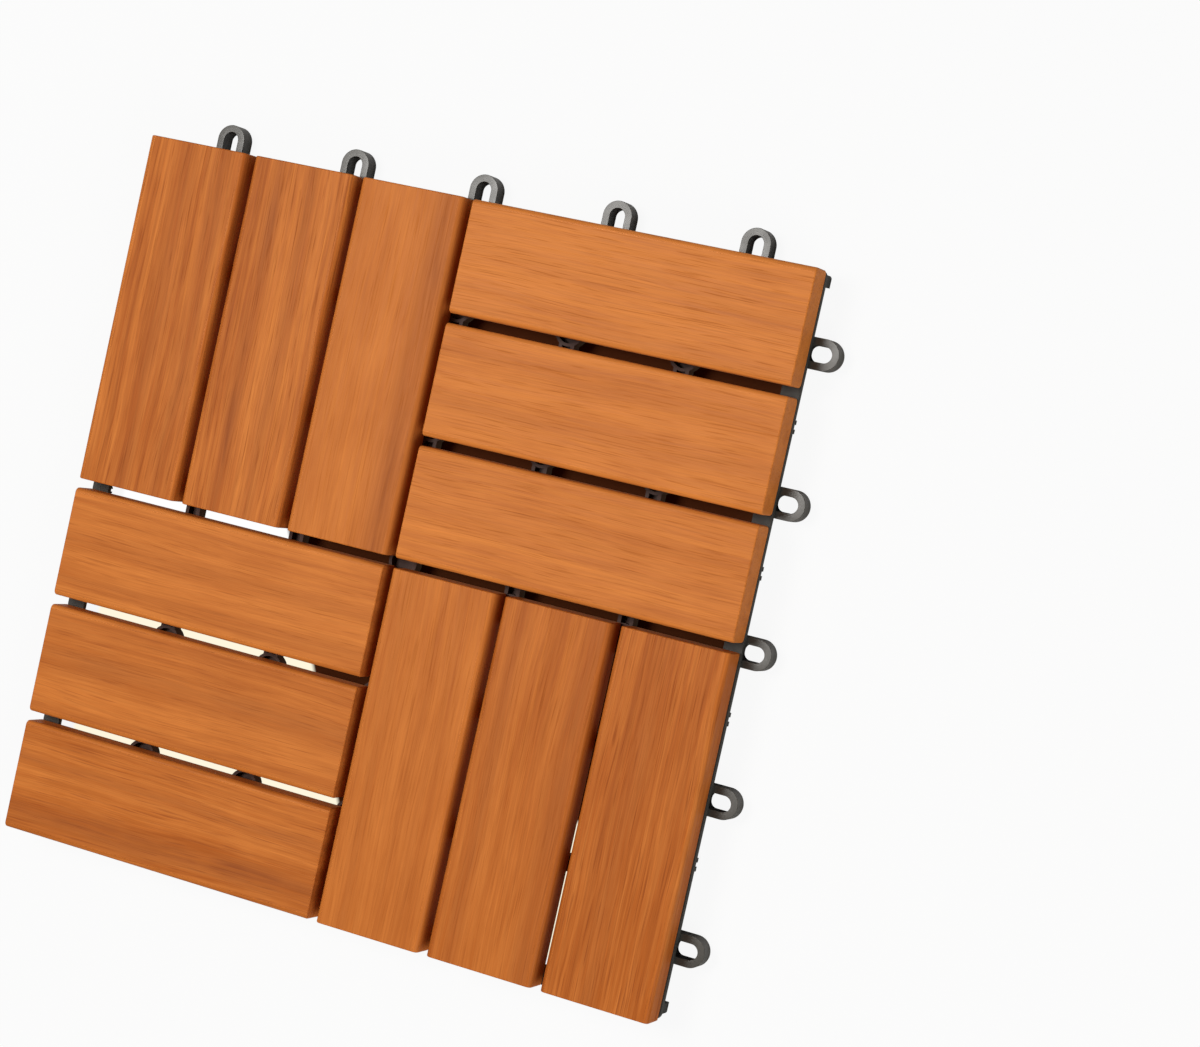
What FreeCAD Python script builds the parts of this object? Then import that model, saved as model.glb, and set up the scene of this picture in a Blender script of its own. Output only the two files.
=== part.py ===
import FreeCAD, Part
import math
import os

# An interlocking deck tile: twelve hardwood slats in a basket weave, screwed from below
# to one moulded grid that stands on the ground and hooks to the next tile.
# Millimetres. The origin is on the ground under the middle of the tile, +Z points up
# through the walking face, and the joining loops stand out on the +X and +Y edges.

# Walking face
MODULE = 300.0  # from one laid tile to the next
SLATS_PER_QUARTER = 3
SLAT_GAP = 4.0
SLAT_THICKNESS = 13.0
SLAT_EDGE_RADIUS = 2.0

# Moulded grid
GRID_HEIGHT = 11.0  # from the ground to the underside of the slats
PLATE = 2.5  # the rim's thickness, flat under the slats
RIM_SETBACK = 1.8  # from the module line to the rim's outer edge
RIM_CORNER_RADIUS = 3.0
BAR_PITCH = 49.4
BAR_WIDTH = 6.6
BAR_DEPTH = 5.4
BAR_WALL = 1.5  # each side of the groove along a bar's top
BAR_FLOOR = 2.0  # under the groove
END_BAR_OFFSET = 8.0  # from the middle of the tile to the bar under the slats' inner ends

# Feet
PADS_PER_BAR = 2
PAD_RADIUS = 6.4  # to the corners, as for every faceted post
PAD_FIRST = 45.0  # from the module line to the first pad on a bar
PAD_PITCH = 49.2
PAD_SIDES = 10
FOOT_RADIUS = 3.2
FOOT_SIDES = 8
RIM_FOOT_WIDTH = 5.4
RIM_FOOT_DEPTH = 5.0
RIM_FOOT_WALL = 1.8
RIM_FOOT_SETBACK = 2.2  # from the rim's outer edge
RIM_FOOT_PITCH = 58.1
RIM_FEET_PER_EDGE = 4
CORNER_FOOT_LENGTH = 4.8
CORNER_FOOT_SETBACK = 1.2
CORNER_FOOT_WALL = 2.0

# Pegs and loops that join one tile to the next
LINKS_PER_EDGE = 5
LINK_PITCH = 59.0
LINK_SHIFT = -1.5  # the row of links is not quite centred on the slats
PEG_RADIUS = 2.8
PEG_INSET = 3.8  # from the module line to the peg's axis
PEG_GROUND_GAP = 1.5
PEG_SPLIT_WIDTH = 1.2
PEG_SPLIT_HEIGHT = 3.2
PEG_SIDE_PLAY = 0.8
PEG_END_PLAY = 0.3
LOOP_WALL = 2.6
LOOP_END_WALL = 2.5
LOOP_GROUND_GAP = 2.0
LOOP_TOP_GAP = 0.3  # under the next tile's rim
LOOP_SLOT_LENGTH = 10.7
LOOP_CLEARANCE = 0.4  # from a loop's end to the next tile's bars

# Screws
SCREW_RADIUS = 1.8
SCREW_SIDES = 6
SCREW_HEAD_RADIUS = 3.6
SCREW_HEAD_SIDES = 8
SCREW_HEAD_HEIGHT = 2.2
SCREW_LENGTH = 13.0  # below the head
SCREW_HOLE_PLAY = 0.3
PILOT_PLAY = 0.05
PILOT_OVERRUN = 0.5
BOSS_RADIUS = 5.4
BOSS_SIDES = 8

# Sizes that follow from the ones above
HALF = MODULE / 2
SLAT_PITCH = HALF / SLATS_PER_QUARTER
SLAT_WIDTH = SLAT_PITCH - SLAT_GAP
SLAT_LENGTH = HALF - SLAT_GAP
PLATE_BOTTOM = GRID_HEIGHT - PLATE
RIM_OUTER = HALF - RIM_SETBACK
LOOP_HOLE_RADIUS = PEG_RADIUS + PEG_SIDE_PLAY
LOOP_HALF_WIDTH = LOOP_HOLE_RADIUS + LOOP_WALL
LOOP_HOLE_END = HALF + PEG_INSET + PEG_RADIUS + PEG_END_PLAY
LOOP_END = LOOP_HOLE_END + LOOP_END_WALL
RIM_INNER = MODULE - LOOP_END - LOOP_CLEARANCE
BAR_HALF = BAR_WIDTH / 2
BAR_BOTTOM = GRID_HEIGHT - BAR_DEPTH
BAR_OFFSETS = [BAR_PITCH, 2 * BAR_PITCH]
UP = FreeCAD.Vector(0, 0, 1)
ORIGIN = FreeCAD.Vector(0, 0, 0)

# How far each edge is turned from the +X edge about the middle of the tile
EDGE_TURN = {"right": 0, "back": 90, "left": 180, "front": 270}


def vec(x, y, z=0.0):
    return FreeCAD.Vector(x, y, z)


def block(x0, x1, y0, y1, z0, z1):
    return Part.makeBox(x1 - x0, y1 - y0, z1 - z0, vec(x0, y0, z0))


def faceted_post(x, y, radius, sides, z0, z1):
    """A post with flat sides; the radius goes to its corners and two sides lie along Y."""
    step = 2 * math.pi / sides
    angles = [step * (i + 0.5) for i in range(sides + 1)]
    corners = [vec(x + radius * math.cos(a), y + radius * math.sin(a), z0) for a in angles]
    corners[-1] = corners[0]
    return Part.Face(Part.makePolygon(corners)).extrude(vec(0, 0, z1 - z0))


def turned(shape, degrees):
    copy = shape.copy()
    copy.rotate(ORIGIN, UP, degrees)
    return copy


def on_edge(shape, edge, along):
    """Move a shape drawn at the middle of the +X edge to a place along any edge."""
    moved = turned(shape, EDGE_TURN[edge])
    if edge in ("right", "left"):
        moved.translate(vec(0, along))
    else:
        moved.translate(vec(along, 0))
    return moved


def tongue(x0, x1, half_width, z0, z1):
    """A straight prism along X whose far end is a half round."""
    middle = x1 - half_width
    near_right = vec(x0, -half_width)
    far_right = vec(middle, -half_width)
    far_left = vec(middle, half_width)
    near_left = vec(x0, half_width)
    edges = [
        Part.makeLine(near_right, far_right),
        Part.Arc(far_right, vec(x1, 0), far_left).toShape(),
        Part.makeLine(far_left, near_left),
        Part.makeLine(near_left, near_right),
    ]
    face = Part.Face(Part.Wire(edges))
    face.translate(vec(0, 0, z0))
    return face.extrude(vec(0, 0, z1 - z0))


def link_places():
    first = LINK_SHIFT - LINK_PITCH * (LINKS_PER_EDGE - 1) / 2
    return [first + LINK_PITCH * i for i in range(LINKS_PER_EDGE)]


def slat_places():
    """Centre lines of one quarter's slats, from the edge of the tile inwards."""
    return [HALF - SLAT_PITCH * (i + 0.5) for i in range(SLATS_PER_QUARTER)]


def pad_places():
    """Pads along a bar, from the edge of the tile inwards."""
    return [HALF - PAD_FIRST - PAD_PITCH * i for i in range(PADS_PER_BAR)]


def screw_places():
    """Two screws for each slat, where it crosses the two bars of its quarter."""
    places = []
    for bar in BAR_OFFSETS:
        for middle in slat_places():
            places.append((-bar, -middle))
            places.append((-middle, bar))
            places.append((bar, middle))
            places.append((middle, -bar))
    return places


def bar_along_y(x, y0, y1):
    """A moulded bar with a groove along its top."""
    inner = BAR_HALF - BAR_WALL
    floor = BAR_BOTTOM + BAR_FLOOR
    profile = [
        (-BAR_HALF, BAR_BOTTOM), (BAR_HALF, BAR_BOTTOM), (BAR_HALF, GRID_HEIGHT), (inner, GRID_HEIGHT),
        (inner, floor), (-inner, floor), (-inner, GRID_HEIGHT), (-BAR_HALF, GRID_HEIGHT),
    ]
    points = [vec(x + s, y0, z) for s, z in profile]
    points.append(points[0])
    return Part.Face(Part.makePolygon(points)).extrude(vec(0, y1 - y0))


def bar_along_x(y, x0, x1):
    return turned(bar_along_y(y, -x1, -x0), 90)


def half_lattice():
    """The bars of the front left and back left quarters, each across its own slats."""
    bars = [bar_along_x(END_BAR_OFFSET, -RIM_INNER, -BAR_HALF)]
    for offset in BAR_OFFSETS:
        bars.append(bar_along_y(-offset, -RIM_INNER, END_BAR_OFFSET - BAR_HALF))
        bars.append(bar_along_x(offset, -RIM_INNER, -BAR_HALF))
    return bars


def lattice():
    bars = [bar_along_y(0, -RIM_INNER, RIM_INNER)]
    for bar in half_lattice():
        bars.append(bar)
        bars.append(turned(bar, 180))
    return bars


def pad_centres():
    """Pads along every bar, where the end bars are crossed, and under the middle."""
    centres = [(0, 0)]
    for offset in BAR_OFFSETS:
        centres += [(-offset, END_BAR_OFFSET), (offset, -END_BAR_OFFSET)]
    for place in pad_places():
        centres += [(0, place), (0, -place)]
        for offset in BAR_OFFSETS:
            centres += [(-offset, -place), (offset, place), (-place, offset), (place, -offset)]
    return centres


def pads():
    """A foot stands under each wider pad that fills the bar's groove."""
    pieces = []
    for x, y in pad_centres():
        pieces.append(faceted_post(x, y, PAD_RADIUS, PAD_SIDES, BAR_BOTTOM, GRID_HEIGHT))
        pieces.append(faceted_post(x, y, FOOT_RADIUS, FOOT_SIDES, 0, BAR_BOTTOM))
    return pieces


def square_tube(outer, inner, z0, z1):
    return block(-outer, outer, -outer, outer, z0, z1).cut(block(-inner, inner, -inner, inner, z0, z1))


def rounded_corners(shape):
    """Round the four upright edges furthest from the middle of a square shape."""
    reach = shape.BoundBox.XMax
    corners = []
    for edge in shape.Edges:
        start, end = edge.Vertexes[0].Point, edge.Vertexes[-1].Point
        outermost = math.isclose(abs(start.x), reach) and math.isclose(abs(start.y), reach)
        if outermost and not math.isclose(start.z, end.z):
            corners.append(edge)
    return shape.makeFillet(RIM_CORNER_RADIUS, corners)


def rim():
    """The flat frame under the outer ends of the slats."""
    return rounded_corners(square_tube(RIM_OUTER, RIM_INNER, PLATE_BOTTOM, GRID_HEIGHT))


def rim_foot():
    """A post under the rim, open to the outside like a short gutter stood on end."""
    tip = RIM_OUTER - RIM_FOOT_SETBACK
    back = tip - RIM_FOOT_DEPTH
    half_width = RIM_FOOT_WIDTH / 2
    inner = half_width - RIM_FOOT_WALL
    outside = block(back, tip, -half_width, half_width, 0, PLATE_BOTTOM)
    return outside.cut(block(back + RIM_FOOT_WALL, tip, -inner, inner, 0, PLATE_BOTTOM))


def rim_feet():
    foot = rim_foot()
    first = -RIM_FOOT_PITCH * (RIM_FEET_PER_EDGE - 1) / 2
    places = [first + RIM_FOOT_PITCH * i for i in range(RIM_FEET_PER_EDGE)]
    return [on_edge(foot, edge, along) for edge in EDGE_TURN for along in places]


def corner_feet():
    """An angle under each corner of the rim."""
    tip = RIM_OUTER - CORNER_FOOT_SETBACK
    inner = tip - CORNER_FOOT_LENGTH
    legs = block(inner, tip, inner, tip, 0, PLATE_BOTTOM)
    room = tip - CORNER_FOOT_WALL
    corner = legs.cut(block(inner, room, inner, room, 0, PLATE_BOTTOM))
    return [turned(corner, turn) for turn in EDGE_TURN.values()]


def loop():
    """A flat eye that reaches out under the next tile's rim."""
    eye = tongue(RIM_INNER, LOOP_END, LOOP_HALF_WIDTH, LOOP_GROUND_GAP, PLATE_BOTTOM)
    above = block(RIM_OUTER, LOOP_END, -LOOP_HALF_WIDTH, LOOP_HALF_WIDTH,
                  PLATE_BOTTOM - LOOP_TOP_GAP, PLATE_BOTTOM)
    hole_start = LOOP_HOLE_END - LOOP_SLOT_LENGTH
    hole = tongue(hole_start, LOOP_HOLE_END, LOOP_HOLE_RADIUS, 0, PLATE_BOTTOM)
    return eye.cut(above).cut(hole)


def loops():
    eye = loop()
    return [on_edge(eye, edge, along) for edge in ("right", "back") for along in link_places()]


def peg():
    """A split pin that hangs from the rim and drops into the next tile's loop."""
    x = HALF - PEG_INSET
    pin = Part.makeCylinder(PEG_RADIUS, PLATE_BOTTOM - PEG_GROUND_GAP, vec(x, 0, PEG_GROUND_GAP))
    split = block(x - PEG_RADIUS, x + PEG_RADIUS, -PEG_SPLIT_WIDTH / 2, PEG_SPLIT_WIDTH / 2,
                  PEG_GROUND_GAP, PEG_GROUND_GAP + PEG_SPLIT_HEIGHT)
    return pin.cut(split)


def pegs():
    pin = peg()
    return [on_edge(pin, edge, along) for edge in ("left", "front") for along in link_places()]


def bosses():
    return [faceted_post(x, y, BOSS_RADIUS, BOSS_SIDES, BAR_BOTTOM, GRID_HEIGHT)
            for x, y in screw_places()]


def screw_holes():
    radius = SCREW_RADIUS + SCREW_HOLE_PLAY
    return [faceted_post(x, y, radius, SCREW_SIDES, BAR_BOTTOM, GRID_HEIGHT) for x, y in screw_places()]


def base_grid():
    pieces = lattice() + pads() + bosses() + rim_feet() + corner_feet() + loops() + pegs()
    body = rim().multiFuse(pieces)
    return body.cut(Part.makeCompound(screw_holes())).removeSplitter()


def screw(x, y):
    """A screw that points up, with its head against the underside of a boss."""
    head = faceted_post(x, y, SCREW_HEAD_RADIUS, SCREW_HEAD_SIDES, BAR_BOTTOM - SCREW_HEAD_HEIGHT, BAR_BOTTOM)
    shank = faceted_post(x, y, SCREW_RADIUS, SCREW_SIDES, BAR_BOTTOM, BAR_BOTTOM + SCREW_LENGTH)
    return head.fuse(shank)


def slat_screws():
    return Part.makeCompound([screw(x, y) for x, y in screw_places()])


def plain_slat():
    """One slat along X, centred on the origin, with its underside at zero height."""
    half_length, half_width = SLAT_LENGTH / 2, SLAT_WIDTH / 2
    wood = block(-half_length, half_length, -half_width, half_width, 0, SLAT_THICKNESS)
    long_edges = [edge for edge in wood.Edges if edge.BoundBox.XLength > SLAT_WIDTH]
    return wood.makeFillet(SLAT_EDGE_RADIUS, long_edges)


def slat(wood, x, y, runs_along_x):
    """Place one slat and drill it for the screws that reach it."""
    placed = turned(wood, 0 if runs_along_x else 90)
    placed.translate(vec(x, y, GRID_HEIGHT))
    hole_top = BAR_BOTTOM + SCREW_LENGTH + PILOT_OVERRUN
    radius = SCREW_RADIUS + PILOT_PLAY
    for screw_x, screw_y in screw_places():
        reaches_x = abs(screw_x - x) < (SLAT_LENGTH if runs_along_x else SLAT_WIDTH) / 2
        reaches_y = abs(screw_y - y) < (SLAT_WIDTH if runs_along_x else SLAT_LENGTH) / 2
        if reaches_x and reaches_y:
            placed = placed.cut(faceted_post(screw_x, screw_y, radius, SCREW_SIDES, GRID_HEIGHT, hole_top))
    return placed


def slats():
    """The twelve slats by name, numbered left to right or back to front in each quarter."""
    wood = plain_slat()
    across = slat_places()
    middle = (SLAT_GAP / 2) + SLAT_LENGTH / 2
    named = {}
    for i in range(SLATS_PER_QUARTER):
        outer_first = across[i]
        inner_first = across[-1 - i]
        number = str(i + 1)
        named["slat_back_left_" + number] = slat(wood, -outer_first, middle, False)
        named["slat_back_right_" + number] = slat(wood, middle, outer_first, True)
        named["slat_front_left_" + number] = slat(wood, -middle, -inner_first, True)
        named["slat_front_right_" + number] = slat(wood, inner_first, -middle, False)
    return named


def main():
    os.makedirs("parts", exist_ok=True)
    nodes = {"base_grid": base_grid(), "slat_screws": slat_screws()}
    nodes.update(slats())
    for name, shape in nodes.items():
        shape.exportStep(os.path.join("parts", name + ".step"))
        box = shape.BoundBox
        print(name, len(shape.Solids), "solids", round(shape.Volume), "mm3",
              [round(v, 2) for v in (box.XMin, box.YMin, box.ZMin, box.XMax, box.YMax, box.ZMax)])


main()
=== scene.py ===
import math

import bmesh
import bpy
from mathutils import Matrix, Vector


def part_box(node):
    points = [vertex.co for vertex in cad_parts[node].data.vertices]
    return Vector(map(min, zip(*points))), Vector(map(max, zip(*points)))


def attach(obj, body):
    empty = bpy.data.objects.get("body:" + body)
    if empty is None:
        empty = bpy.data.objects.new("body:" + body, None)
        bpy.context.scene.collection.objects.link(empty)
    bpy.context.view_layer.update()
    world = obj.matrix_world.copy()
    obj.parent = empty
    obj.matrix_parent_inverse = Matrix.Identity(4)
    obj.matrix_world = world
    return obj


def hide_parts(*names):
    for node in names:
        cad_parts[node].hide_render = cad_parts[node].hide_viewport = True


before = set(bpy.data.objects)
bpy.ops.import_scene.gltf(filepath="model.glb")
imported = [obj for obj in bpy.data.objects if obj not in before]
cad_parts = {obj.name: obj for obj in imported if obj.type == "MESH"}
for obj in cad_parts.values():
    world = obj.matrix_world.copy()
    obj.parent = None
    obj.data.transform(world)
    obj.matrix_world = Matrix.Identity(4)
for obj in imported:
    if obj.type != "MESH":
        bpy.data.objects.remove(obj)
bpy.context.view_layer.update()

bl_info = {
    "name": "Basket Weave Deck Tile",
    "version": (1, 0, 0),
    "blender": (4, 5, 0),
    "location": "View3D > Sidebar > Deck Tile",
    "description": "Builds an interlocking deck tile of oiled hardwood boards on a moulded grid, "
                   "with its studio",
    "category": "Add Mesh",
}

MM = 0.001
TOUCH = 1e-6  # places closer than this are taken as the same
FACING = 0.9  # a face looks along an axis when its normal has more than this along it

# The moulded grid, measured as the solids are
OVERLAP = 0.05 * MM  # how far a part of the moulding reaches into its neighbour before they are fused
PAST = 1 * MM  # how far a cutting shape reaches beyond what it cuts
WELD = 0.002 * MM  # points of the fused moulding closer than this become one
GRID_TOP = 11 * MM
RIM_OUTER = 148.2 * MM
RIM_INNER = 140.2 * MM
RIM_BOTTOM = 8.5 * MM
RIM_CORNER = 3 * MM
BAR_LINES = (49.4 * MM, 98.8 * MM)
END_BAR_LINE = 8 * MM
BAR_HALF = 3.3 * MM
BAR_BOTTOM = 5.6 * MM
BAR_WALL = 1.5 * MM
BAR_FLOOR = 2 * MM
PAD_LINES = (105 * MM, 55.8 * MM)
FOOT_RADIUS = 3.1 * MM
FOOT_TAPER = 0.92  # a foot's width at the ground as a share of its width at the bar
BOSS_LINES = (125 * MM, 75 * MM, 25 * MM)
SCREW_HOLE_RADIUS = 2.1 * MM
RIM_FOOT_LINES = (-87.15 * MM, -29.05 * MM, 29.05 * MM, 87.15 * MM)
RIM_FOOT_TIP = 146 * MM
RIM_FOOT_DEPTH = 5 * MM
RIM_FOOT_HALF = 2.7 * MM
RIM_FOOT_WALL = 1.8 * MM
CORNER_FOOT_TIP = 147 * MM
CORNER_FOOT_LENGTH = 4.8 * MM
CORNER_FOOT_WALL = 2 * MM
CORNER_FOOT_ROUNDING = 1.2 * MM
LINK_LINES = tuple((-1.5 + 59 * i) * MM for i in (-2, -1, 0, 1, 2))
LOOP_HALF = 6.2 * MM
LOOP_END = 159.4 * MM
LOOP_WALL = 3 * MM
LOOP_SLOT_START = 146.2 * MM
LOOP_SLOT_FLAT = 0.4 * MM  # half the straight piece at the inner end of a slot
LOOP_SLOT_NEAR = 0.3 * MM  # points this near the inset's inner end are moved to the slot's start
LOOP_BOTTOM = 1 * MM
LOOP_TOP = 8.2 * MM
LOOP_EASING = 0.6  # rounding of a loop's edges as a share of the rim's
LOOP_ROOT_INSET = 1 * MM
LOOP_ROOT_GAP = 0.5 * MM
PEG_AXIS = 146.2 * MM
PEG_RADIUS = 2.8 * MM
PEG_BOTTOM = 1.5 * MM
PEG_CHAMFER = 0.8 * MM
PEG_SPLIT = 1.2 * MM
PEG_SPLIT_TOP = 4.7 * MM

# The board that the twelve are copied from
BOARD_LENGTH = 146 * MM
BOARD_WIDTH = 46 * MM
BOARD_THICKNESS = 13 * MM

# Screws
SCREW_HEAD_RADIUS = 3.6 * MM
SCREW_HEAD_BOTTOM = 3.4 * MM
SCREW_SHANK_RADIUS = 1.8 * MM
SCREW_TIP = 18.6 * MM
SCREW_POINT = 3 * MM
SCREW_TIP_WIDTH = 0.1  # as a share of the shank's
RECESS_HALF_LENGTH = 1.7 * MM
RECESS_HALF_WIDTH = 0.35 * MM
RECESS_DEPTH = 1.3 * MM

# Degrees by which an edge turns: above the first three it stays sharp in the shading,
# and from the last on it is one of the rims that get rounded
BOARD_SHARP, GRID_SHARP, SCREW_SHARP = 40, 30, 35
RIM_SHARP = 60

# Each board's own figure: number, tone, redness, streaks, lines, then two dark bands,
# each with its place across the board in millimetres, its half width and its strength.
BOARD_FIGURES = {
    "slat_back_left_1": (1.0, 0.30, 0.40, 0.80, 1.00, (2.0, 4.0, 0.45), (-14.0, 4.5, 0.40)),
    "slat_back_left_2": (2.0, 0.42, 0.35, 0.80, 1.00, (8.5, 3.0, 0.70), (-6.0, 3.0, 0.45)),
    "slat_back_left_3": (3.0, 0.60, 0.08, 0.20, 0.35, (20.0, 5.0, 0.12), (-17.0, 6.5, 0.62)),
    "slat_back_right_1": (4.0, 0.88, 0.10, 0.30, 0.70, (-20.0, 3.0, 0.15), (2.0, 3.0, 0.10)),
    "slat_back_right_2": (5.0, 0.78, 0.12, 0.35, 0.60, (-8.0, 3.5, 0.25), (12.0, 3.0, 0.10)),
    "slat_back_right_3": (6.0, 0.76, 0.12, 0.35, 0.68, (0.0, 4.0, 0.15), (15.0, 3.0, 0.12)),
    "slat_front_left_1": (7.0, 0.63, 0.20, 0.55, 0.62, (3.0, 4.0, 0.25), (-14.0, 3.0, 0.25)),
    "slat_front_left_2": (8.0, 0.56, 0.25, 0.50, 0.65, (2.0, 6.0, 0.45), (16.0, 3.0, 0.22)),
    "slat_front_left_3": (9.0, 0.42, 0.30, 0.65, 0.85, (-14.0, 5.0, 0.75), (6.0, 3.0, 0.42)),
    "slat_front_right_1": (10.0, 0.46, 0.15, 0.35, 0.45, (14.0, 3.0, 0.20), (-10.0, 3.0, 0.12)),
    "slat_front_right_2": (11.0, 0.31, 0.25, 0.50, 0.65, (-19.0, 5.0, 0.45), (14.0, 4.0, 0.35)),
    "slat_front_right_3": (12.0, 0.20, 0.25, 0.50, 1.10, (4.0, 5.0, 0.35), (-16.0, 3.0, 0.20)),
}

# Noises of the materials: scales per millimetre, detail and roughness.
# In the wood the scales are along, across and through the board.
NOISES = {
    "wood sway": ((0.006, 0.02, 0.02), 2.0, 0.5),
    "wood broad": ((0.004, 0.16, 0.10), 3.0, 0.55),
    "wood fine": ((0.016, 0.50, 0.35), 4.0, 0.62),
    "wood ripple": ((0.09, 1.1, 0.8), 3.0, 0.6),
    "wood hairs": ((0.03, 2.6, 2.2), 3.0, 0.6),
    "wood pores": ((0.045, 1.8, 1.5), 2.0, 0.5),
    "wood cloud": ((0.03, 0.06, 0.06), 3.0, 0.5),
    "plastic cloud": ((0.12, 0.12, 0.12), 3.0, 0.5),
    "plastic speck": ((2.2, 2.2, 2.2), 2.0, 0.5),
    "steel blotch": ((0.35, 0.35, 0.35), 3.0, 0.5),
    "steel turning": ((0.6, 0.6, 9.0), 2.0, 0.5),
}
BOARD_STEP = (317.0, 53.0, 91.0)  # millimetres between the boards' places in the wood's noises
SWAY_ACROSS = 9.0  # millimetres by which the grain wanders across a board
SWAY_THROUGH = 0.4  # how much of that it wanders through the board

# How much each noise changes the tone of the wood or the shade of the plastic
STREAK_DEPTH = -0.7
LINE_DEPTH = 1.8
RIPPLE_DEPTH = 0.45
CLOUD_DEPTH = 0.7
RED_DEPTH = 0.75
PORE_DEPTH = 0.5
SPECK_DEPTH = 0.06

# The floor under the tile, as ramps in millimetres: an axis with the places where the ramp is zero and one.
# A region is the product of its ramps. Under the tile the floor is in shade outside the lit regions.
UNDER_EDGE = RIM_INNER / MM
UNDER_FADE = 2
UNDER_TILE = (
    ("x", -UNDER_EDGE, UNDER_FADE - UNDER_EDGE), ("x", UNDER_EDGE, UNDER_EDGE - UNDER_FADE),
    ("y", -UNDER_EDGE, UNDER_FADE - UNDER_EDGE), ("y", UNDER_EDGE, UNDER_EDGE - UNDER_FADE),
)
SLANT = 0.47  # share of y that is added to x on the slanted axis
LIT_REGIONS = (
    (("y", 3, 1), ("slant", -58, -60)),
    (("x", 85, 87), ("y", -83, -85)),
    (("x", -104, -108), ("y", 70, 3)),
    (("y", -110, -114), ("x", 36, 12)),
    (("y", -110, -114), ("x", 56, 85)),
    (("x", 112, 116), ("y", -20, -83)),
)
# Painted warm light: under the front of the tile the floor shows the camera cream in place of white
PAINTED_WARM_REGION = (("y", -4, -40),)
SHADE_COLOUR = (0.10, 0.032, 0.012, 1.0)
WHITE_COLOUR = (1.0, 1.0, 1.0, 1.0)
PAINTED_WARM_COLOUR = (1.0, 0.93, 0.73, 1.0)
GLOW_COLOUR = (1.0, 0.72, 0.48, 1.0)
GLOW = 0.22  # how much light the floor gives to the tile's underside
OPEN_WHITE = 0.92  # how much of the floor's white the camera gets beside the tile

# The studio: places and sizes in metres
FLOOR_SIZE = 8
SKY_STRENGTH = 0.14
LIGHTS = (  # name, the setting with its power, place, size and colour
    ("overhead_light", "overhead", (-0.50, 0.28, 1.57), (0.75, 0.6), (1.0, 0.98, 0.95)),
    ("front_light", "front", (1.2, -0.8, 0.95), (0.9, 0.9), (1.0, 0.98, 0.96)),
)
CAMERA_PLACE = (0.48025287656, 0.08679389205, 1.04736452506)
CAMERA_TURN = (2.13478996, 21.20163299, 13.41588239)  # degrees
CAMERA_LENS = 85.045
CAMERA_SENSOR = 36
CAMERA_NEAR = 0.01


# Sizes and colours a user would change

class BoardSettings(bpy.types.PropertyGroup):
    edge_radius: bpy.props.FloatProperty(
        name="Edge Radius", description="Rounding of a board's long edges",
        default=2 * MM, min=0.5 * MM, max=5 * MM, subtype="DISTANCE", unit="LENGTH")
    end_easing: bpy.props.FloatProperty(
        name="End Easing", description="Small rounding round the sawn ends of a board",
        default=0.6 * MM, min=0.1 * MM, max=2 * MM, subtype="DISTANCE", unit="LENGTH")
    pale_wood: bpy.props.FloatVectorProperty(
        name="Pale Wood", description="The lightest stripes of the oiled wood",
        default=(0.64, 0.205, 0.040), size=3, min=0, max=1, subtype="COLOR")
    warm_wood: bpy.props.FloatVectorProperty(
        name="Warm Wood", description="The main colour of the oiled wood",
        default=(0.42, 0.105, 0.014), size=3, min=0, max=1, subtype="COLOR")
    red_wood: bpy.props.FloatVectorProperty(
        name="Red Wood", description="The dark reddish bands of the oiled wood",
        default=(0.22, 0.046, 0.011), size=3, min=0, max=1, subtype="COLOR")


class GridSettings(bpy.types.PropertyGroup):
    pad_radius: bpy.props.FloatProperty(
        name="Pad Radius", description="Radius of the round pads over the feet",
        default=6.2 * MM, min=4 * MM, max=8 * MM, subtype="DISTANCE", unit="LENGTH")
    pad_wall: bpy.props.FloatProperty(
        name="Pad Wall", description="Thickness of the ring round the hollow in a pad's top",
        default=1.3 * MM, min=0.8 * MM, max=3 * MM, subtype="DISTANCE", unit="LENGTH")
    boss_radius: bpy.props.FloatProperty(
        name="Boss Radius", description="Radius of the round bosses that the screws pass through",
        default=5.1 * MM, min=3 * MM, max=7 * MM, subtype="DISTANCE", unit="LENGTH")
    edge_rounding: bpy.props.FloatProperty(
        name="Edge Rounding", description="Rounding of the moulding's outer edges",
        default=0.4 * MM, min=0.1 * MM, max=1 * MM, subtype="DISTANCE", unit="LENGTH")
    plastic: bpy.props.FloatVectorProperty(
        name="Plastic", description="Colour of the moulded grid",
        default=(0.046, 0.043, 0.035), size=3, min=0, max=1, subtype="COLOR")


class ScrewSettings(bpy.types.PropertyGroup):
    dome: bpy.props.FloatProperty(
        name="Head Dome", description="How far the rounding of a screw's head comes in from its rim",
        default=1.2 * MM, min=0.3 * MM, max=2 * MM, subtype="DISTANCE", unit="LENGTH")
    steel: bpy.props.FloatVectorProperty(
        name="Steel", description="Colour of the screws",
        default=(0.52, 0.51, 0.48), size=3, min=0, max=1, subtype="COLOR")


class StageSettings(bpy.types.PropertyGroup):
    floor: bpy.props.FloatVectorProperty(
        name="Floor", description="Colour of the studio floor",
        default=(0.55, 0.55, 0.55), size=3, min=0, max=1, subtype="COLOR")
    overhead: bpy.props.FloatProperty(
        name="Overhead Light", description="Power of the large soft light above the tile",
        default=21.5, min=0, max=500, unit="POWER")
    front: bpy.props.FloatProperty(
        name="Front Light", description="Power of the soft light at the front right",
        default=15.0, min=0, max=500, unit="POWER")


# Modelling by hand, in code

def only(piece):
    """Leave one piece selected and active."""
    bpy.ops.object.select_all(action="DESELECT")
    piece.select_set(True)
    bpy.context.view_layer.objects.active = piece


def settled(name):
    """Name the piece that was just added, and put its place, turn and size into its mesh."""
    piece = bpy.context.object
    piece.name = name
    only(piece)
    bpy.ops.object.transform_apply(location=True, rotation=True, scale=True)
    return piece


def cuboid(name, low, high):
    middle = (Vector(low) + Vector(high)) / 2
    bpy.ops.object.select_all(action="DESELECT")
    bpy.ops.mesh.primitive_cube_add(size=1, location=middle, scale=Vector(high) - Vector(low))
    return settled(name)


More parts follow.
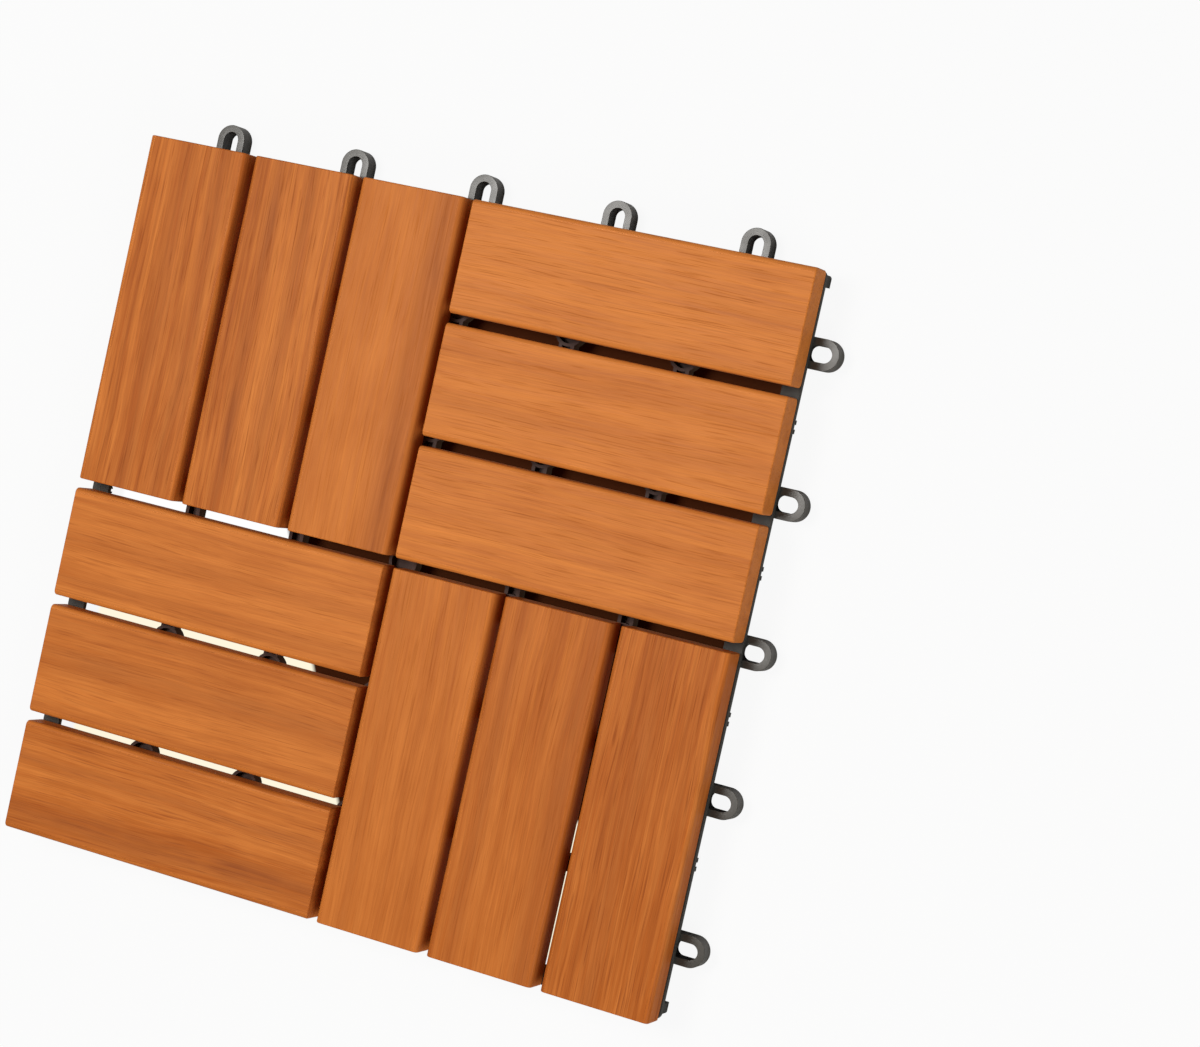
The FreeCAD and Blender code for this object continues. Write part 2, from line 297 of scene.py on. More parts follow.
def drum(name, x, y, radius, z0, z1, sides=32):
    bpy.ops.object.select_all(action="DESELECT")
    bpy.ops.mesh.primitive_cylinder_add(
        vertices=sides, radius=radius, depth=z1 - z0, location=(x, y, (z0 + z1) / 2))
    return settled(name)


def start_shaping(piece):
    only(piece)
    bpy.ops.object.mode_set(mode="EDIT")


def end_shaping():
    bpy.ops.object.mode_set(mode="OBJECT")


def pick(piece, kind, test):
    """In edit mode, select the faces or edges that pass a test."""
    bpy.ops.mesh.select_mode(type=kind)
    bpy.ops.mesh.select_all(action="DESELECT")
    mesh = bmesh.from_edit_mesh(piece.data)
    for each in mesh.faces if kind == "FACE" else mesh.edges:
        each.select = test(each)
    mesh.select_flush_mode()
    bmesh.update_edit_mesh(piece.data)


def pick_faces(piece, test):
    """In edit mode, select the faces whose middle and normal pass a test."""
    pick(piece, "FACE", lambda face: test(face.calc_center_median(), face.normal))


def pick_edges(piece, test):
    """In edit mode, select the edges whose two ends pass a test."""
    pick(piece, "EDGE", lambda edge: test(edge.verts[0].co, edge.verts[1].co))


def keep_sharp_rims(piece):
    """In edit mode, keep only the picked edges where two faces turn by the rims' angle or more."""
    mesh = bmesh.from_edit_mesh(piece.data)
    for edge in mesh.edges:
        if edge.select and (len(edge.link_faces) != 2 or edge.calc_face_angle() < math.radians(RIM_SHARP)):
            edge.select = False
    mesh.select_flush_mode()
    bmesh.update_edit_mesh(piece.data)


def round_picked(offset, segments):
    bpy.ops.mesh.bevel(offset=offset, offset_type="OFFSET", segments=segments, profile=0.5, affect="EDGES")


def level(a, b, z):
    return abs(a.z - z) < TOUCH and abs(b.z - z) < TOUCH


def upright(a, b):
    return abs(a.x - b.x) < TOUCH and abs(a.y - b.y) < TOUCH


def push_picked(value):
    bpy.ops.mesh.extrude_region_move(TRANSFORM_OT_translate={"value": value})


def cut_through(piece, wall):
    """Open a piece from its top to its underside, with a wall left all round."""
    pick_faces(piece, lambda middle, normal: abs(normal.z) > FACING)
    bpy.ops.mesh.inset(thickness=wall, depth=0)
    bpy.ops.mesh.bridge_edge_loops()


def rename(piece, name):
    piece.name = name
    piece.data.name = name


def copy_of(piece, name, matrix):
    """A copy with its own mesh, moved within the mesh."""
    twin = piece.copy()
    twin.data = piece.data.copy()
    twin.data.transform(matrix)
    rename(twin, name)
    bpy.context.collection.objects.link(twin)
    return twin


def copies_at(piece, places):
    """Copies of a piece that was modelled at the middle, one at each place, and the first is dropped."""
    made = [copy_of(piece, piece.name + "_copy", Matrix.Translation((x, y, 0))) for x, y in places]
    discard(piece)
    return made


def quarter_turn(count):
    return Matrix.Rotation(math.radians(90 * count), 4, "Z")


def along_edge(piece, turns, lines):
    """Copies of a piece modelled at the middle of the +X edge, at each line of the edges the turns give."""
    made = []
    for count in turns:
        sideways = count % 2 == 1
        for line in lines:
            shift = Matrix.Translation((line, 0, 0) if sideways else (0, line, 0))
            made.append(copy_of(piece, piece.name + "_copy", shift @ quarter_turn(count)))
    discard(piece)
    return made


def discard(piece):
    mesh = piece.data
    bpy.data.objects.remove(piece)
    bpy.data.meshes.remove(mesh)


def joined(name, pieces):
    """One object of pieces that stay apart in its mesh."""
    bpy.ops.object.select_all(action="DESELECT")
    for piece in pieces:
        piece.select_set(True)
    bpy.context.view_layer.objects.active = pieces[0]
    bpy.ops.object.join()
    whole = bpy.context.object
    rename(whole, name)
    return whole


def fused(body, pieces, action):
    """Fuse pieces to a body, or cut them out of it, so that one closed skin is left."""
    group = bpy.data.collections.new("fused pieces")
    bpy.context.scene.collection.children.link(group)
    for piece in pieces:
        bpy.context.collection.objects.unlink(piece)
        group.objects.link(piece)
    only(body)
    modifier = body.modifiers.new("Fuse", "BOOLEAN")
    modifier.operation = action
    modifier.operand_type = "COLLECTION"
    modifier.collection = group
    modifier.solver = "MANIFOLD"
    bpy.ops.object.modifier_apply(modifier=modifier.name)
    for piece in pieces:
        discard(piece)
    bpy.data.collections.remove(group)
    return body


def smooth(piece, degrees):
    """Shade the curves smooth and the broad faces flat."""
    only(piece)
    bpy.ops.object.shade_smooth_by_angle(angle=math.radians(degrees))
    modifier = piece.modifiers.new("Flat Faces", "WEIGHTED_NORMAL")
    modifier.keep_sharp = True
    bpy.ops.object.modifier_apply(modifier=modifier.name)


def finish_piece(piece, material, nodes):
    """Give a piece its material and tell the frame what it stands for."""
    piece.data.materials.clear()
    piece.data.materials.append(material)
    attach(piece, "root")
    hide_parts(*nodes)


# Nodes of the materials

COLOUR, NUMBER, PLACE = "NodeSocketColor", "NodeSocketFloat", "NodeSocketVector"


def put_in(tree, node, index, value):
    """Link a socket to one of a node's inputs, or set the input to a plain value."""
    if isinstance(value, bpy.types.NodeSocket):
        tree.links.new(value, node.inputs[index])
    else:
        node.inputs[index].default_value = value


def add_node(tree, kind, inputs=None, **settings):
    node = tree.nodes.new(kind)
    node.location = (180 * (len(tree.nodes) % 12), -260 * (len(tree.nodes) // 12))
    for name, value in settings.items():
        setattr(node, name, value)
    for name, value in (inputs or {}).items():
        put_in(tree, node, name, value)
    return node


def calc(tree, action, first, second=0.0, third=None):
    inputs = {0: first, 1: second}
    if third is not None:
        inputs[2] = third
    return add_node(tree, "ShaderNodeMath", inputs, operation=action).outputs[0]


def calc_places(tree, action, first, second):
    """A sum of two places, or a place times a place or number."""
    inputs = {0: first, 3 if action == "SCALE" else 1: second}
    return add_node(tree, "ShaderNodeVectorMath", inputs, operation=action).outputs[0]


def folded(tree, action, values):
    """Work through values one after another, such as to multiply them all."""
    whole = values[0]
    for value in values[1:]:
        whole = calc(tree, action, whole, value)
    return whole


def swung(tree, value, depth, base=0.0):
    """A base, changed by how far a noise is from its middle."""
    return calc(tree, "MULTIPLY_ADD", calc(tree, "SUBTRACT", value, 0.5), depth, base)


def noise(tree, place, name):
    """One of the named noises at a place in millimetres."""
    scale, detail, roughness = NOISES[name]
    spot = calc_places(tree, "MULTIPLY", place, scale)
    inputs = {"Vector": spot, "Scale": 1.0, "Detail": detail, "Roughness": roughness}
    return add_node(tree, "ShaderNodeTexNoise", inputs).outputs["Fac"]


def spread(tree, value, low, high, to_low=0.0, to_high=1.0):
    inputs = {"Value": value, "From Min": low, "From Max": high, "To Min": to_low, "To Max": to_high}
    return add_node(tree, "ShaderNodeMapRange", inputs, clamp=True).outputs[0]


def mixed(tree, share, first, second, blend="MIX"):
    node = add_node(tree, "ShaderNodeMix", data_type="RGBA", blend_type=blend, clamp_factor=True)
    for index, value in ((0, share), (6, first), (7, second)):
        put_in(tree, node, index, value)
    return node.outputs[2]


def shaded(tree, colour, value):
    """A colour made darker or lighter by a number."""
    grey = add_node(tree, "ShaderNodeCombineXYZ", {0: value, 1: value, 2: value}).outputs[0]
    return mixed(tree, 1.0, colour, grey, "MULTIPLY")


def new_group(name, inputs):
    """A group that gives a skin its colour, roughness and height."""
    group = bpy.data.node_groups.new(name, "ShaderNodeTree")
    for label, kind, value in inputs:
        socket = group.interface.new_socket(label, in_out="INPUT", socket_type=kind)
        if value is not None:
            socket.default_value = value
    for label, kind in (("Color", COLOUR), ("Roughness", NUMBER), ("Height", NUMBER)):
        group.interface.new_socket(label, in_out="OUTPUT", socket_type=kind)
    return group, group.nodes.new("NodeGroupInput").outputs, group.nodes.new("NodeGroupOutput").inputs


# Materials

def grain_group():
    """Oiled hardwood in millimetres: X runs along the board, and the middle of the board is at zero."""
    tree, given, result = new_group("oiled_grain", [
        ("Place", PLACE, None), ("Board Number", NUMBER, 1.0),
        ("Pale", COLOUR, None), ("Warm", COLOUR, None), ("Red", COLOUR, None),
        ("Tone", NUMBER, 0.5), ("Redness", NUMBER, 0.5), ("Streaks", NUMBER, 0.5), ("Lines", NUMBER, 0.5),
        ("Band 1 Place", NUMBER, 0.0), ("Band 1 Width", NUMBER, 4.0), ("Band 1 Strength", NUMBER, 0.3),
        ("Band 2 Place", NUMBER, 0.0), ("Band 2 Width", NUMBER, 4.0), ("Band 2 Strength", NUMBER, 0.3),
    ])

    # Every board is cut from another place, and its grain wanders
    step = calc_places(tree, "SCALE", BOARD_STEP, given["Board Number"])
    spot = calc_places(tree, "ADD", given["Place"], step)
    sway = swung(tree, noise(tree, spot, "wood sway"), SWAY_ACROSS)
    through = calc(tree, "MULTIPLY", sway, SWAY_THROUGH)
    drift = add_node(tree, "ShaderNodeCombineXYZ", {"Y": sway, "Z": through}).outputs[0]
    swayed = calc_places(tree, "ADD", spot, drift)
    broad = spread(tree, noise(tree, swayed, "wood broad"), 0.36, 0.68)
    fine = noise(tree, swayed, "wood fine")
    ripple = noise(tree, swayed, "wood ripple")
    hairs = noise(tree, swayed, "wood hairs")
    pores = spread(tree, noise(tree, swayed, "wood pores"), 0.58, 0.70)
    cloud = noise(tree, spot, "wood cloud")

    # Two dark bands with ragged edges, which fade along the board
    across = add_node(tree, "ShaderNodeSeparateXYZ", {0: given["Place"]}).outputs["Y"]
    wander = calc(tree, "ADD", across, sway)
    ragged = spread(tree, fine, 0.30, 0.62, 0.35, 1.0)
    fading = spread(tree, cloud, 0.3, 0.65, 0.45, 1.1)
    bands = []
    for label in ("Band 1", "Band 2"):
        off = calc(tree, "SUBTRACT", wander, given[label + " Place"])
        off = calc(tree, "DIVIDE", off, given[label + " Width"])
        bell = calc(tree, "EXPONENT", folded(tree, "MULTIPLY", (off, off, -1.0)))
        bands.append(folded(tree, "MULTIPLY", (bell, ragged, fading, given[label + " Strength"])))

    # From warm to pale wood, with red in the darker streaks and in the bands
    streaks = calc(tree, "MULTIPLY", given["Streaks"], STREAK_DEPTH)
    tone = swung(tree, broad, streaks, given["Tone"])
    tone = calc(tree, "MULTIPLY_ADD", swung(tree, fine, given["Lines"]), LINE_DEPTH, tone)
    tone = swung(tree, ripple, RIPPLE_DEPTH, tone)
    tone = swung(tree, cloud, CLOUD_DEPTH, tone)
    body = mixed(tree, spread(tree, tone, 0.0, 1.0), given["Warm"], given["Pale"])
    reds = folded(tree, "MULTIPLY", (spread(tree, broad, 0.45, 1.0), given["Redness"], RED_DEPTH))
    body = mixed(tree, folded(tree, "MAXIMUM", (reds, *bands)), body, given["Red"])

    # Hair lines and pores
    thin = spread(tree, hairs, 0.30, 0.70, -0.13, 0.11)
    thin = calc(tree, "MULTIPLY_ADD", thin, spread(tree, given["Lines"], 0.0, 1.0, 0.3, 1.1), 0.98)
    body = shaded(tree, body, thin)
    body = mixed(tree, folded(tree, "MULTIPLY", (pores, given["Lines"], PORE_DEPTH)), body, given["Red"])
    tree.links.new(body, result["Color"])

    rough = calc(tree, "MULTIPLY_ADD", pores, 0.15, spread(tree, fine, 0.3, 0.7, 0.40, 0.52))
    tree.links.new(rough, result["Roughness"])
    relief = calc(tree, "SUBTRACT", calc(tree, "MULTIPLY", hairs, 0.5), pores)
    tree.links.new(relief, result["Height"])
    return tree


def moulded_group():
    """Moulded plastic in millimetres.

    It is matt on the grid, darker there by painted shade, and smoother on the loops that stand out from it.
    """
    tree, given, result = new_group("moulded_skin", [
        ("Place", PLACE, None), ("Plastic", COLOUR, None), ("Mottle", NUMBER, 0.3),
        ("Grid Half", NUMBER, 148.0), ("Grid Shade", NUMBER, 0.6),
        ("Wood Bounce", COLOUR, (1.7, 0.45, 0.18, 1.0)),
    ])
    cloud = noise(tree, given["Place"], "plastic cloud")
    speck = noise(tree, given["Place"], "plastic speck")
    parts = add_node(tree, "ShaderNodeSeparateXYZ", {0: given["Place"]}).outputs
    reach = folded(tree, "MAXIMUM", [calc(tree, "ABSOLUTE", parts[axis]) for axis in ("X", "Y")])
    grid = spread(tree, calc(tree, "SUBTRACT", reach, given["Grid Half"]), 0.0, 1.0, 1.0, 0.0)

    change = swung(tree, cloud, given["Mottle"])
    change = swung(tree, speck, SPECK_DEPTH, change)
    # Painted shade: inside Grid Half the plastic's colour is darkened by Grid Shade
    painted_grid_shade = calc(tree, "MULTIPLY", grid, calc(tree, "SUBTRACT", 1.0, given["Grid Shade"]))
    tint = calc(tree, "MULTIPLY", calc(tree, "ADD", change, 1.0), calc(tree, "SUBTRACT", 1.0, painted_grid_shade))
    body = shaded(tree, given["Plastic"], tint)

    # Painted warm light: the upper part of the bars, inside the rim, is tinted warm in its colour as by
    # light from the boards
    inside = spread(tree, reach, RIM_INNER / MM - 1.0, RIM_INNER / MM, 1.0, 0.0)
    raised = spread(tree, parts["Z"], BAR_BOTTOM / MM + 0.4, BAR_BOTTOM / MM + 1.9)
    warm = mixed(tree, 1.0, body, given["Wood Bounce"], "MULTIPLY")
    body = mixed(tree, calc(tree, "MULTIPLY", inside, raised), body, warm)
    tree.links.new(body, result["Color"])

    rough = spread(tree, cloud, 0.3, 0.7, 0.34, 0.42)
    tree.links.new(calc(tree, "MULTIPLY_ADD", grid, 0.3, rough), result["Roughness"])
    tree.links.new(speck, result["Height"])
    return tree


def steel_group():
    """Plain turned steel, a little duller in blotches."""
    tree, given, result = new_group("turned_steel", [("Place", PLACE, None), ("Steel", COLOUR, None)])
    blotch = noise(tree, given["Place"], "steel blotch")
    turning = noise(tree, given["Place"], "steel turning")
    body = shaded(tree, given["Steel"], spread(tree, blotch, 0.3, 0.7, 0.8, 1.05))
    tree.links.new(body, result["Color"])
    tree.links.new(spread(tree, blotch, 0.3, 0.7, 0.42, 0.28), result["Roughness"])
    tree.links.new(turning, result["Height"])
    return tree


def shared_group(name, make):
    return bpy.data.node_groups.get(name) or make()


def skin(name, group, values, place, metallic, gloss, bump_strength, bump_distance):
    """A material whose colour, roughness and bump come from one of the groups."""
    material = bpy.data.materials.new(name)
    material.use_nodes = True
    tree = material.node_tree
    shader = tree.nodes["Principled BSDF"]
    shader.inputs["Metallic"].default_value = metallic
    shader.inputs["Specular IOR Level"].default_value = gloss
    effect = add_node(tree, "ShaderNodeGroup", node_tree=group)
    tree.links.new(place(tree), effect.inputs["Place"])
    for label, value in values.items():
        effect.inputs[label].default_value = value
    bump = add_node(tree, "ShaderNodeBump", {"Strength": bump_strength, "Distance": bump_distance,
                                             "Height": effect.outputs["Height"]})
    tree.links.new(effect.outputs["Color"], shader.inputs["Base Color"])
    tree.links.new(effect.outputs["Roughness"], shader.inputs["Roughness"])
    tree.links.new(bump.outputs["Normal"], shader.inputs["Normal"])
    return material


def millimetres(tree, middle=(0, 0, 0), turn=0.0):
    """Object coordinates in millimetres from a point, turned about Z."""
    spot = add_node(tree, "ShaderNodeTexCoord").outputs["Object"]
    inputs = {"Vector": spot, "Location": middle, "Rotation": (0, 0, turn), "Scale": (MM, MM, MM)}
    return add_node(tree, "ShaderNodeMapping", inputs, vector_type="TEXTURE").outputs[0]


def rgba(colour):
    return (*colour, 1.0)


def wood_material(node, middle, turn, settings):
    number, tone, redness, streaks, lines, first, second = BOARD_FIGURES[node]
    values = {
        "Board Number": number, "Tone": tone, "Redness": redness, "Streaks": streaks, "Lines": lines,
        "Pale": rgba(settings.pale_wood), "Warm": rgba(settings.warm_wood), "Red": rgba(settings.red_wood),
        "Band 1 Place": first[0], "Band 1 Width": first[1], "Band 1 Strength": first[2],
        "Band 2 Place": second[0], "Band 2 Width": second[1], "Band 2 Strength": second[2],
    }
    return skin("oiled_" + node, shared_group("oiled_grain", grain_group), values,
                lambda tree: millimetres(tree, middle, turn),
                metallic=0.0, gloss=0.09, bump_strength=0.25, bump_distance=0.15 * MM)


def plastic_material(settings):
    values = {"Plastic": rgba(settings.plastic), "Mottle": 0.35}
    return skin("dark_moulded_plastic", shared_group("moulded_skin", moulded_group), values, millimetres,
                metallic=0.0, gloss=0.6, bump_strength=0.02, bump_distance=0.05 * MM)


def steel_material(settings):
    values = {"Steel": rgba(settings.steel)}
    return skin("plain_screw_steel", shared_group("turned_steel", steel_group), values, millimetres,
                metallic=1.0, gloss=0.5, bump_strength=0.1, bump_distance=0.05 * MM)


# The boards

def plain_board(settings):
    """One board along X with its middle at the origin: long edges rounded, sawn ends eased."""
    half = Vector((BOARD_LENGTH, BOARD_WIDTH, BOARD_THICKNESS)) / 2
    board = cuboid("board", -half, half)
    start_shaping(board)
    pick_edges(board, lambda a, b: abs(a.x - b.x) > BOARD_LENGTH / 2)
    round_picked(settings.edge_radius, segments=6)
    pick_edges(board, lambda a, b: abs(abs(a.x) - half.x) < TOUCH and abs(a.x - b.x) < TOUCH)
    round_picked(settings.end_easing, segments=3)
    end_shaping()
    return board


def make_boards(settings):
    first = plain_board(settings)
    for node in BOARD_FIGURES:
        low, high = (Vector(corner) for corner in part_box(node))
        middle, size = (low + high) / 2, high - low
        turn = 0.0 if size.x > size.y else math.radians(90)
        matrix = Matrix.Translation(middle) @ Matrix.Rotation(turn, 4, "Z")
        board = copy_of(first, node.replace("slat", "board"), matrix)
        smooth(board, BOARD_SHARP)
        finish_piece(board, wood_material(node, middle, turn, settings), [node])
    discard(first)


# The moulded grid

def make_rim(settings):
    rim = cuboid("rim", (-RIM_OUTER, -RIM_OUTER, RIM_BOTTOM), (RIM_OUTER, RIM_OUTER, GRID_TOP))
    start_shaping(rim)
    cut_through(rim, RIM_OUTER - RIM_INNER)
    pick_edges(rim, lambda a, b: upright(a, b) and min(abs(a.x), abs(a.y)) > RIM_OUTER - MM)
    round_picked(RIM_CORNER, segments=6)
    pick_edges(rim, lambda a, b: level(a, b, GRID_TOP) or level(a, b, RIM_BOTTOM))
    keep_sharp_rims(rim)
    round_picked(settings.edge_rounding, segments=2)
    end_shaping()
    return rim


def make_bar(low, high):
    """A bar with a groove along its top."""
    bar = cuboid("bar", (*low, BAR_BOTTOM), (*high, GRID_TOP))
    start_shaping(bar)
    pick_faces(bar, lambda middle, normal: normal.z > FACING)
    bpy.ops.mesh.inset(thickness=BAR_WALL, depth=0)
    push_picked((0, 0, BAR_BOTTOM + BAR_FLOOR - GRID_TOP))
    end_shaping()
    return bar


def make_bars():
    """The bar through the middle, and the bars that each quarter has, with their twins across the middle."""
    reach = RIM_INNER + OVERLAP
    inside = BAR_HALF - OVERLAP
    near = END_BAR_LINE - BAR_HALF + OVERLAP
    bars = [make_bar((-BAR_HALF, -reach), (BAR_HALF, reach))]
    spans = [((-reach, END_BAR_LINE - BAR_HALF), (-inside, END_BAR_LINE + BAR_HALF))]
    for line in BAR_LINES:
        spans.append(((-line - BAR_HALF, -reach), (-line + BAR_HALF, near)))
        spans.append(((-reach, line - BAR_HALF), (-inside, line + BAR_HALF)))
    for low, high in spans:
        bars.append(make_bar(low, high))
        bars.append(copy_of(bars[-1], "bar_copy", quarter_turn(2)))
    return bars


def pad_places():
    places = [(0, 0)]
    for line in BAR_LINES:
        places += [(-line, END_BAR_LINE), (line, -END_BAR_LINE)]
    for pad in PAD_LINES:
        places += [(0, pad), (0, -pad)]
        for line in BAR_LINES:
            places += [(-line, -pad), (line, pad), (-pad, line), (pad, -line)]
    return places


def boss_places():
    places = []
    for line in BAR_LINES:
        for middle in BOSS_LINES:
            places += [(-line, -middle), (-middle, line), (line, middle), (middle, -line)]
    return places


def make_pads(settings):
    """A round pad with a foot under it, rounded where it meets the ground."""
    pad = drum("pad", 0, 0, settings.pad_radius, BAR_BOTTOM, GRID_TOP)
    start_shaping(pad)
    pick_faces(pad, lambda middle, normal: normal.z < -FACING)
    bpy.ops.mesh.inset(thickness=settings.pad_radius - FOOT_RADIUS, depth=0)
    push_picked((0, 0, -BAR_BOTTOM))
    bpy.ops.transform.resize(value=(FOOT_TAPER, FOOT_TAPER, 1), center_override=(0, 0, 0))
    pick_edges(pad, lambda a, b: level(a, b, 0))
    round_picked(settings.edge_rounding, segments=2)
    end_shaping()
    return copies_at(pad, pad_places())


def make_bosses(settings):
    boss = drum("boss", 0, 0, settings.boss_radius, BAR_BOTTOM, GRID_TOP)
    start_shaping(boss)
    pick_edges(boss, lambda a, b: level(a, b, BAR_BOTTOM))
    round_picked(settings.edge_rounding / 2, segments=1)
    end_shaping()
    return copies_at(boss, boss_places())


def make_rim_feet(settings):
    """Two ribs and the wall between them, open to the outside."""
    back = RIM_FOOT_TIP - RIM_FOOT_DEPTH
    channel = RIM_FOOT_HALF - RIM_FOOT_WALL
    foot = cuboid("rim_foot", (back, -RIM_FOOT_HALF, 0),
                  (back + RIM_FOOT_WALL, RIM_FOOT_HALF, RIM_BOTTOM + OVERLAP))
    start_shaping(foot)
    for side in (-channel, channel):
        bpy.ops.mesh.select_all(action="SELECT")
        bpy.ops.mesh.bisect(plane_co=(0, side, 0), plane_no=(0, 1, 0))
    pick_faces(foot, lambda middle, normal: normal.x > FACING and abs(middle.y) > channel)
    push_picked((RIM_FOOT_DEPTH - RIM_FOOT_WALL, 0, 0))
    pick_edges(foot, lambda a, b: level(a, b, 0) and max(abs(a.y), abs(b.y)) > RIM_FOOT_HALF - TOUCH)
    round_picked(settings.edge_rounding, segments=2)
    end_shaping()
    return along_edge(foot, (0, 1, 2, 3), RIM_FOOT_LINES)


def make_corner_feet():
    """An angle of two short walls under each corner."""
    room = CORNER_FOOT_TIP - CORNER_FOOT_WALL
    foot = cuboid("corner_foot", (room, room, 0), (CORNER_FOOT_TIP, CORNER_FOOT_TIP, RIM_BOTTOM + OVERLAP))
    start_shaping(foot)
    arm = CORNER_FOOT_WALL - CORNER_FOOT_LENGTH
    pick_faces(foot, lambda middle, normal: normal.x < -FACING)
    push_picked((arm, 0, 0))
    pick_faces(foot, lambda middle, normal: normal.y < -FACING and middle.x > room)
    push_picked((0, arm, 0))
    pick_edges(foot, lambda a, b: upright(a, b) and min(a.x, a.y) > CORNER_FOOT_TIP - TOUCH)
    round_picked(CORNER_FOOT_ROUNDING, segments=4)
    end_shaping()
    made = [copy_of(foot, "corner_foot_copy", quarter_turn(count)) for count in range(4)]
    discard(foot)
    return made


def make_loops(settings):
    """A flat eye: half a drum drawn back under the rim, with a slot through it and eased edges."""
    centre = LOOP_END - LOOP_HALF
    eye = drum("loop", centre, 0, LOOP_HALF, LOOP_BOTTOM, LOOP_TOP, sides=48)
    start_shaping(eye)
    bpy.ops.mesh.select_all(action="SELECT")
    bpy.ops.mesh.bisect(plane_co=(centre, 0, 0), plane_no=(1, 0, 0), use_fill=True, clear_inner=True)
    pick_faces(eye, lambda middle, normal: normal.x < -FACING)
    push_picked((RIM_INNER - centre, 0, 0))
    cut_through(eye, LOOP_WALL)

    # The inset leaves the slot's inner end one wall from the back, and the slot starts further out
    inner = RIM_INNER + LOOP_WALL
    bpy.ops.mesh.select_all(action="DESELECT")
    mesh = bmesh.from_edit_mesh(eye.data)
    for vertex in mesh.verts:
        if abs(vertex.co.x - inner) < LOOP_SLOT_NEAR and abs(vertex.co.y) < LOOP_HALF - MM:
            vertex.co.x = LOOP_SLOT_START
    bmesh.update_edit_mesh(eye.data)
    pick_edges(eye, lambda a, b: upright(a, b) and abs(a.x - LOOP_SLOT_START) < TOUCH)
    round_picked(LOOP_HALF - LOOP_WALL - LOOP_SLOT_FLAT, segments=8)

    pick_edges(eye, lambda a, b: level(a, b, LOOP_TOP) or level(a, b, LOOP_BOTTOM))
    keep_sharp_rims(eye)
    round_picked(settings.edge_rounding * LOOP_EASING, segments=2)
    end_shaping()
    half = LOOP_HALF - LOOP_ROOT_INSET
    root = cuboid("loop_root", (RIM_INNER, -half, LOOP_BOTTOM + LOOP_ROOT_INSET),
                  (LOOP_SLOT_START - LOOP_ROOT_GAP, half, RIM_BOTTOM + OVERLAP))
    return along_edge(eye, (0, 1), LINK_LINES) + along_edge(root, (0, 1), LINK_LINES)


def make_pegs(settings):
    """A pin with a chamfered nose, split from its nose for most of its length."""
    peg = drum("peg", PEG_AXIS, 0, PEG_RADIUS, PEG_BOTTOM, RIM_BOTTOM + OVERLAP)
    start_shaping(peg)
    pick_edges(peg, lambda a, b: level(a, b, PEG_BOTTOM))
    round_picked(PEG_CHAMFER, segments=2)
    end_shaping()
    split = cuboid("split", (PEG_AXIS - 2 * PEG_RADIUS, -PEG_SPLIT / 2, 0),
                   (PEG_AXIS + 2 * PEG_RADIUS, PEG_SPLIT / 2, PEG_SPLIT_TOP))
    return along_edge(fused(peg, [split], "DIFFERENCE"), (2, 3), LINK_LINES)


def make_grid(settings):
    """All parts of the moulding in one closed skin, with hollow pads and holes for the screws."""
    rim = make_rim(settings)
    parts = (make_bars() + make_pads(settings) + make_bosses(settings) + make_rim_feet(settings)
             + make_corner_feet() + make_loops(settings) + make_pegs(settings))
    grid = fused(rim, parts, "UNION")
    hollow_radius = settings.pad_radius - settings.pad_wall
    hollow = drum("pad_hollow", 0, 0, hollow_radius, BAR_BOTTOM + BAR_FLOOR, GRID_TOP + PAST)
    hole = drum("screw_hole", 0, 0, SCREW_HOLE_RADIUS, BAR_BOTTOM - PAST, GRID_TOP + PAST, sides=20)
    cuts = copies_at(hollow, pad_places()) + copies_at(hole, boss_places())
    grid = fused(grid, cuts, "DIFFERENCE")
    start_shaping(grid)
    bpy.ops.mesh.select_all(action="SELECT")
    bpy.ops.mesh.remove_doubles(threshold=WELD)
    end_shaping()
    rename(grid, "moulded_grid")
    smooth(grid, GRID_SHARP)
    finish_piece(grid, plastic_material(settings), ["base_grid"])


# The screws

def make_screws(settings):
    """A screw with its domed head down, a cross recess and a pointed shank, copied to every boss."""
    screw = drum("screw", 0, 0, SCREW_HEAD_RADIUS, SCREW_HEAD_BOTTOM, BAR_BOTTOM)
    start_shaping(screw)
    pick_edges(screw, lambda a, b: level(a, b, SCREW_HEAD_BOTTOM))
    round_picked(settings.dome, segments=5)
    pick_faces(screw, lambda middle, normal: normal.z > FACING)
    bpy.ops.mesh.inset(thickness=SCREW_HEAD_RADIUS - SCREW_SHANK_RADIUS, depth=0)
    push_picked((0, 0, SCREW_TIP - SCREW_POINT - BAR_BOTTOM))
    push_picked((0, 0, SCREW_POINT))
    bpy.ops.transform.resize(value=(SCREW_TIP_WIDTH, SCREW_TIP_WIDTH, 1), center_override=(0, 0, 0))
    end_shaping()
    blades = []
    for turns in (0, 1):
        blade = cuboid("blade", (-RECESS_HALF_LENGTH, -RECESS_HALF_WIDTH, SCREW_HEAD_BOTTOM - PAST),
                       (RECESS_HALF_LENGTH, RECESS_HALF_WIDTH, SCREW_HEAD_BOTTOM + RECESS_DEPTH))
        blade.data.transform(quarter_turn(turns))
        blades.append(blade)
    screw = fused(screw, blades, "DIFFERENCE")
    smooth(screw, SCREW_SHARP)
    screws = joined("screws", copies_at(screw, boss_places()))
    finish_piece(screws, steel_material(settings), ["slat_screws"])


# The stage

